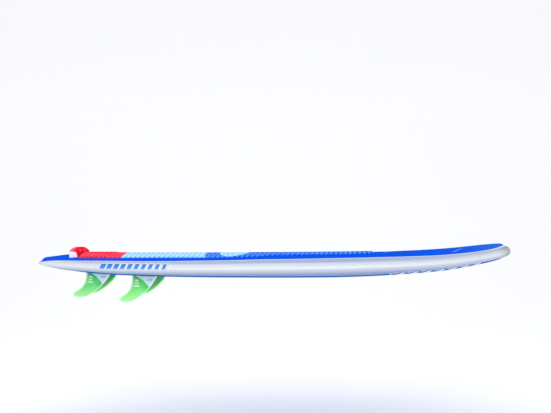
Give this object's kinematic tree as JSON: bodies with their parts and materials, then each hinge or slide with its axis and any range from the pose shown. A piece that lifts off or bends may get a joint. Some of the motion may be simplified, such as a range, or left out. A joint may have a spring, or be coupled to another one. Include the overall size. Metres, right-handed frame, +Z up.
{
  "type": "windsurf board",
  "caption": "Short wide water board with a domed foam-cored hull, EVA deck pads, a raised kick bar at the tail, sliding fins, carry handle, mast insert, vent and leash cup.",
  "frame": {"origin": "centre of the mast insert's face, flush with the deck on the centreline", "axes": "+X toward the nose, +Y to the left rail, +Z up through the deck"},
  "size_m": [2.3336, 0.788, 0.2699],
  "materials": {
    "foam_core": "fine bead foam",
    "wood": "raw strip",
    "deck_blue": "gloss lacquer over laminate",
    "bottom_blue": "gloss lacquer over laminate",
    "rail_silver": "silver woven laminate under clear gloss",
    "foam_block": "dense foam",
    "eva_red": "soft EVA, diamond grooved",
    "eva_dark_red": "soft EVA, smooth",
    "eva_white": "soft EVA block",
    "eva_light_blue": "soft EVA, grooved",
    "eva_blue": "soft EVA, diamond grooved",
    "black_plastic": "moulded, satin",
    "white_plastic": "moulded",
    "grip_rubber": "moulded grip",
    "stainless": "polished stainless",
    "membrane": "breathable disc",
    "oring_rubber": "smooth",
    "fin_green": "translucent glass laminate, gloss"
  },
  "bodies": {
    "hull": {"core_left": "foam_core", "core_right": "foam_core", "stringer_tail": "wood", "stringer_nose": "wood", "deck_skin": "deck_blue", "bottom_skin": "bottom_blue", "rail_left": "rail_silver", "rail_right": "rail_silver", "handle_cup": "black_plastic", "handle_grip": "grip_rubber", "mast_block": "foam_block", "mast_insert": "black_plastic", "mast_nut": "stainless", "vent_housing": "white_plastic", "vent_membrane": "membrane", "leash_cup": "black_plastic", "leash_bar": "stainless", "tail_pad": "eva_red", "mid_pad": "eva_light_blue", "pad_inlay": "eva_light_blue", "front_pad": "eva_blue", "kick_block": "eva_white", "kick_top": "eva_red", "kick_face": "eva_dark_red", "fin_block_front_right": "foam_block", "fin_box_front_right": "black_plastic", "fin_block_front_left": "foam_block", "fin_box_front_left": "black_plastic", "fin_block_rear_right": "foam_block", "fin_box_rear_right": "black_plastic", "fin_block_rear_left": "foam_block", "fin_box_rear_left": "black_plastic"},
    "fin_front_right": {"fin_front_right": "fin_green", "fin_pin_front_right": "stainless", "fin_nut_front_right": "stainless"},
    "screw_front_right": {"fin_screw_front_right": "stainless"},
    "fin_front_left": {"fin_front_left": "fin_green", "fin_pin_front_left": "stainless", "fin_nut_front_left": "stainless"},
    "screw_front_left": {"fin_screw_front_left": "stainless"},
    "fin_rear_right": {"fin_rear_right": "fin_green", "fin_pin_rear_right": "stainless", "fin_nut_rear_right": "stainless"},
    "screw_rear_right": {"fin_screw_rear_right": "stainless"},
    "fin_rear_left": {"fin_rear_left": "fin_green", "fin_pin_rear_left": "stainless", "fin_nut_rear_left": "stainless"},
    "screw_rear_left": {"fin_screw_rear_left": "stainless"},
    "vent_cap": {"vent_plug": "black_plastic", "vent_oring": "oring_rubber"}
  },
  "joints": [
    {"name": "slide_front_right", "type": "slide", "parent": "hull", "child": "fin_front_right", "axis": [0.9988, 0.0436, -0.0224], "range_m": [-0.008, 0.008]},
    {"name": "turn_screw_front_right", "type": "hinge", "parent": "fin_front_right", "child": "screw_front_right", "pos_m": [-0.60698, -0.22679, -0.0928], "axis": [0.0185, 0.088, 0.9959], "continuous": true},
    {"name": "slide_front_left", "type": "slide", "parent": "hull", "child": "fin_front_left", "axis": [0.9988, -0.0436, -0.0224], "range_m": [-0.008, 0.008]},
    {"name": "turn_screw_front_left", "type": "hinge", "parent": "fin_front_left", "child": "screw_front_left", "pos_m": [-0.60698, 0.22679, -0.0928], "axis": [0.0185, -0.088, 0.9959], "continuous": true},
    {"name": "slide_rear_right", "type": "slide", "parent": "hull", "child": "fin_rear_right", "axis": [0.9969, 0.0435, -0.0654], "range_m": [-0.008, 0.008]},
    {"name": "turn_screw_rear_right", "type": "hinge", "parent": "fin_rear_right", "child": "screw_rear_right", "pos_m": [-0.84589, -0.11679, -0.08623], "axis": [0.0612, 0.0899, 0.9941], "continuous": true},
    {"name": "slide_rear_left", "type": "slide", "parent": "hull", "child": "fin_rear_left", "axis": [0.9969, -0.0435, -0.0654], "range_m": [-0.008, 0.008]},
    {"name": "turn_screw_rear_left", "type": "hinge", "parent": "fin_rear_left", "child": "screw_rear_left", "pos_m": [-0.84589, 0.11679, -0.08623], "axis": [0.0612, -0.0899, 0.9941], "continuous": true},
    {"name": "vent_turn", "type": "hinge", "parent": "hull", "child": "vent_cap", "pos_m": [0.5, 0, 0.00707], "axis": [-0.0394, 0, 0.9992], "continuous": true}
  ]
}
